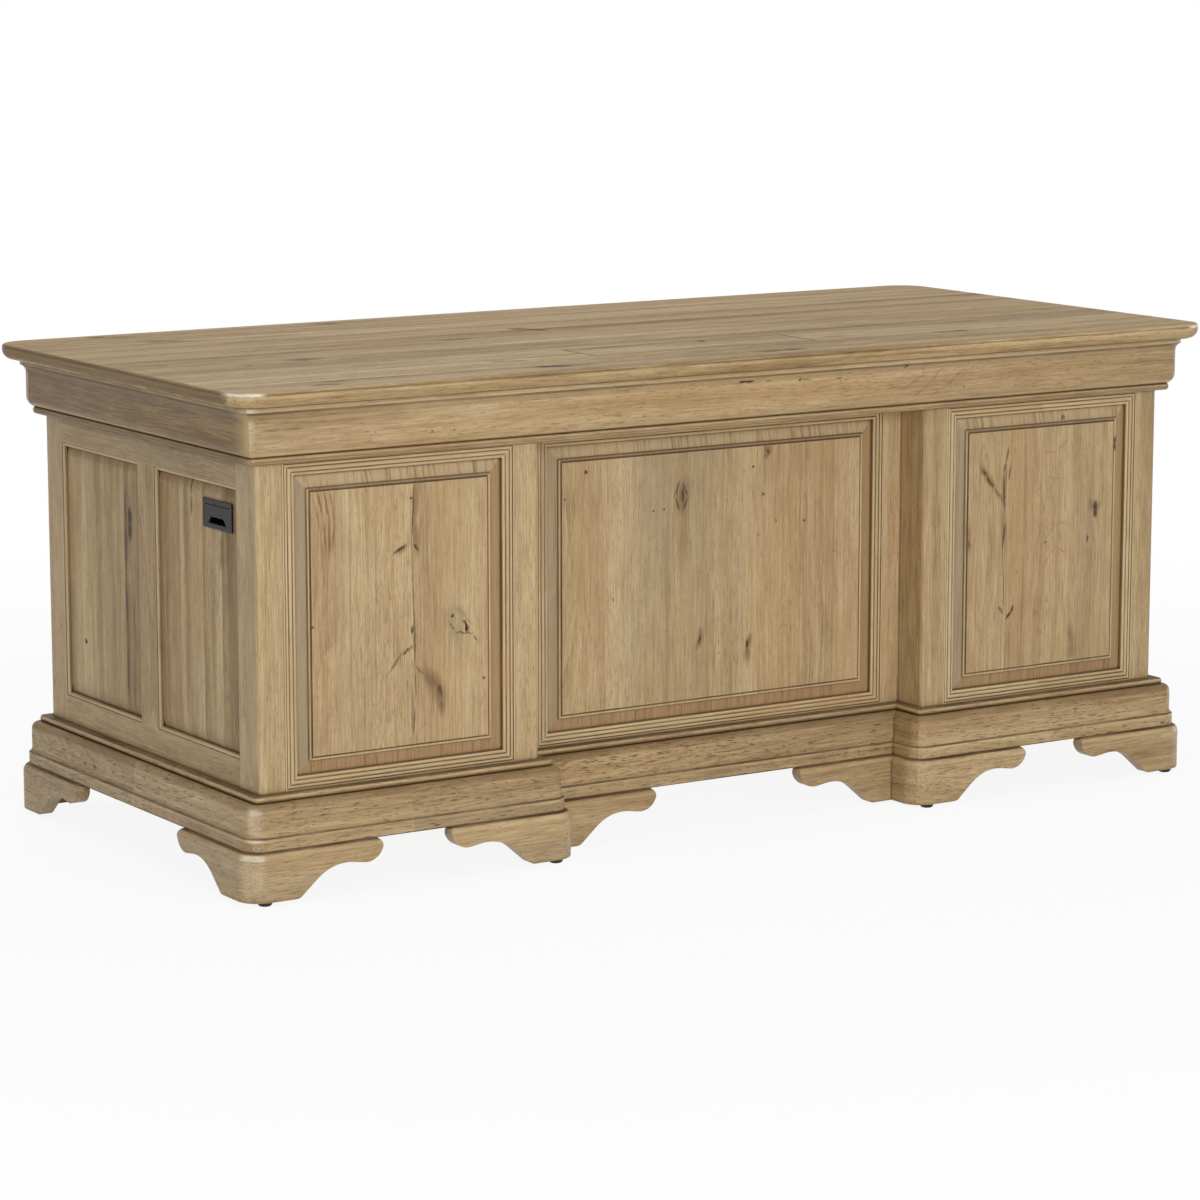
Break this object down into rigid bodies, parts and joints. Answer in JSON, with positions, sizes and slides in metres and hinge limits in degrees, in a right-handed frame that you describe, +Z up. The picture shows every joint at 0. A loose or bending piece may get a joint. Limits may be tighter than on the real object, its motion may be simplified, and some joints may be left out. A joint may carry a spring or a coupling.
{
  "type": "double-pedestal desk",
  "caption": "Free-standing oak pedestal desk with moulded frieze, plinth and scrolled bracket feet, panelled visitor side, drawers behind, a cable lid in the top and an outlet in one end",
  "frame": {"origin": "on the floor under the middle of the top", "axes": "+X along the desk away from the outlet, +Y towards the sitter, +Z up"},
  "size_m": [1.829, 0.838, 0.762],
  "materials": {
    "oak": "satin",
    "inner_wood": "satin",
    "black_plastic": "satin",
    "steel": "satin"
  },
  "bodies": {
    "desk": {"center_front_panel": "oak", "center_panel_moulding": "oak", "center_plinth": "oak", "center_soffit": "oak", "center_stiles": "oak", "drawer_rails": "oak", "drawer_runners": "inner_wood", "foot_blocks": "inner_wood", "frieze_dividers": "inner_wood", "frieze_floor": "inner_wood", "frieze_front": "oak", "frieze_left": "oak", "frieze_right": "oak", "glides": "black_plastic", "kneehole_sides": "oak", "left_end_beads": "oak", "left_end_frame": "oak", "left_end_panels": "oak", "left_front_panel": "oak", "left_inner_front_foot": "oak", "left_inner_rear_foot": "oak", "left_outer_front_foot": "oak", "left_outer_rear_foot": "oak", "left_panel_moulding": "oak", "left_plinth": "oak", "outlet_bezel": "black_plastic", "pedestal_bottoms": "inner_wood", "pedestal_posts": "oak", "right_end_beads": "oak", "right_end_frame": "oak", "right_end_panels": "oak", "right_front_panel": "oak", "right_inner_front_foot": "oak", "right_inner_rear_foot": "oak", "right_outer_front_foot": "oak", "right_outer_rear_foot": "oak", "right_panel_moulding": "oak", "right_plinth": "oak", "top_board": "oak"},
    "access_lid": {"access_lid": "oak", "lid_pins": "steel"},
    "outlet_flap": {"outlet_flap": "black_plastic"},
    "left_frieze_drawer": {"left_frieze_drawer_front": "oak", "left_frieze_drawer_box": "inner_wood"},
    "center_frieze_drawer": {"center_frieze_drawer_front": "oak", "center_frieze_drawer_box": "inner_wood"},
    "right_frieze_drawer": {"right_frieze_drawer_front": "oak", "right_frieze_drawer_box": "inner_wood"},
    "left_upper_drawer": {"left_upper_drawer_front": "oak", "left_upper_drawer_box": "inner_wood", "left_upper_drawer_knob": "oak"},
    "left_file_drawer": {"left_file_drawer_front": "oak", "left_file_drawer_box": "inner_wood", "left_file_drawer_knob": "oak"},
    "right_upper_drawer": {"right_upper_drawer_front": "oak", "right_upper_drawer_box": "inner_wood", "right_upper_drawer_knob": "oak"},
    "right_file_drawer": {"right_file_drawer_front": "oak", "right_file_drawer_box": "inner_wood", "right_file_drawer_knob": "oak"}
  },
  "joints": [
    {"name": "lid_hinge", "type": "hinge", "parent": "desk", "child": "access_lid", "pos_m": [0, -0.2625, 0.758], "axis": [1, 0, 0], "range_deg": [0, 100]},
    {"name": "flap_hinge", "type": "hinge", "parent": "desk", "child": "outlet_flap", "pos_m": [-0.8475, -0.2285, 0.5722], "axis": [0, 1, 0], "range_deg": [0, 85]},
    {"name": "left_frieze_drawer_slide", "type": "slide", "parent": "desk", "child": "left_frieze_drawer", "axis": [0, 1, 0], "range_m": [0, 0.33]},
    {"name": "center_frieze_drawer_slide", "type": "slide", "parent": "desk", "child": "center_frieze_drawer", "axis": [0, 1, 0], "range_m": [0, 0.33]},
    {"name": "right_frieze_drawer_slide", "type": "slide", "parent": "desk", "child": "right_frieze_drawer", "axis": [0, 1, 0], "range_m": [0, 0.33]},
    {"name": "left_upper_drawer_slide", "type": "slide", "parent": "desk", "child": "left_upper_drawer", "axis": [0, 1, 0], "range_m": [0, 0.38]},
    {"name": "left_file_drawer_slide", "type": "slide", "parent": "desk", "child": "left_file_drawer", "axis": [0, 1, 0], "range_m": [0, 0.38]},
    {"name": "right_upper_drawer_slide", "type": "slide", "parent": "desk", "child": "right_upper_drawer", "axis": [0, 1, 0], "range_m": [0, 0.38]},
    {"name": "right_file_drawer_slide", "type": "slide", "parent": "desk", "child": "right_file_drawer", "axis": [0, 1, 0], "range_m": [0, 0.38]}
  ]
}
